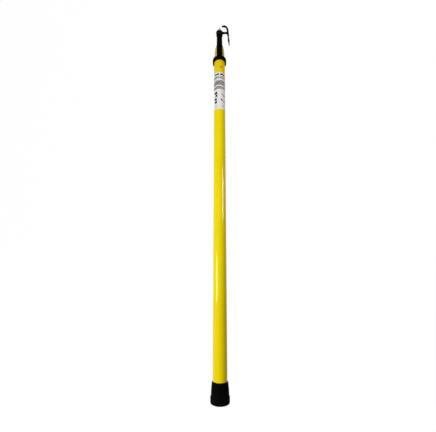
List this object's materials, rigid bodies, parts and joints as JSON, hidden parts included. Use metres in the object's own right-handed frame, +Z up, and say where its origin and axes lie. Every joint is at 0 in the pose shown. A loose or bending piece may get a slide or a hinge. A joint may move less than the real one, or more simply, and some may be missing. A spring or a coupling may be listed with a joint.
{
  "type": "telescopic operating stick",
  "caption": "Closed telescopic pole on a rubber boot: an inner tube slides out of a base tube and carries a head with a pivoting hook and prong tool.",
  "frame": {"origin": "centre of the boot's flat underside, on the pole's axis", "axes": "+Z up the pole towards the head, -Y the front, which the wing nut faces, +X the side the tool's arm points to"},
  "size_m": [0.0832, 0.066, 1.6026],
  "materials": {
    "yellow_tube": "glossy pultruded glass fibre tube",
    "pale_yellow": "satin moulded nylon",
    "boot_rubber": "matt moulded rubber",
    "black_plastic": "satin moulded plastic",
    "black_metal": "black coated casting",
    "plated_steel": "dull zinc plating",
    "label_film": "printed film",
    "grey_felt": "pressed felt",
    "natural_nylon": "natural nylon",
    "brass": "turned brass"
  },
  "bodies": {
    "base": {"foot_boot": "boot_rubber", "base_tube": "yellow_tube", "base_plug": "black_plastic", "stop_buffer": "boot_rubber", "collar": "black_plastic", "collar_bushing": "natural_nylon", "wiper_ring": "grey_felt", "collar_screw_1": "black_metal", "collar_screw_2": "black_metal", "collar_screw_3": "black_metal", "label_sleeve": "label_film"},
    "inner_section": {"tip_tube": "yellow_tube", "guide_slider": "natural_nylon", "tube_bung": "boot_rubber", "shoulder": "pale_yellow", "universal_head": "black_metal", "strap_rivet_lower": "black_metal", "strap_rivet_upper": "black_metal", "button_spring": "plated_steel", "pivot_bolt": "black_metal", "nut_washer": "plated_steel", "spring_washer": "plated_steel"},
    "lock_button": {"lock_button": "brass"},
    "tool": {"disconnect_tool": "black_metal", "prong_sleeve": "black_plastic", "prong_pin": "plated_steel"},
    "wing_nut": {"wing_nut": "black_metal"}
  },
  "joints": [
    {"name": "section_slide", "type": "slide", "parent": "base", "child": "inner_section", "axis": [0, 0, 1], "range_m": [0, 1.286]},
    {"name": "button_travel", "type": "slide", "parent": "inner_section", "child": "lock_button", "axis": [0.2588, -0.9659, 0], "range_m": [0, 0.0045], "stiffness_N_per_m": 600, "springref_m": 0.012, "deforming": ["button_spring"]},
    {"name": "tool_pivot", "type": "hinge", "parent": "inner_section", "child": "tool", "pos_m": [0, 0, 1.557], "axis": [0, -1, 0], "range_deg": [-15, 150]},
    {"name": "nut_spin", "type": "hinge", "parent": "inner_section", "child": "wing_nut", "pos_m": [0, 0, 1.557], "axis": [0, -1, 0], "continuous": true}
  ]
}
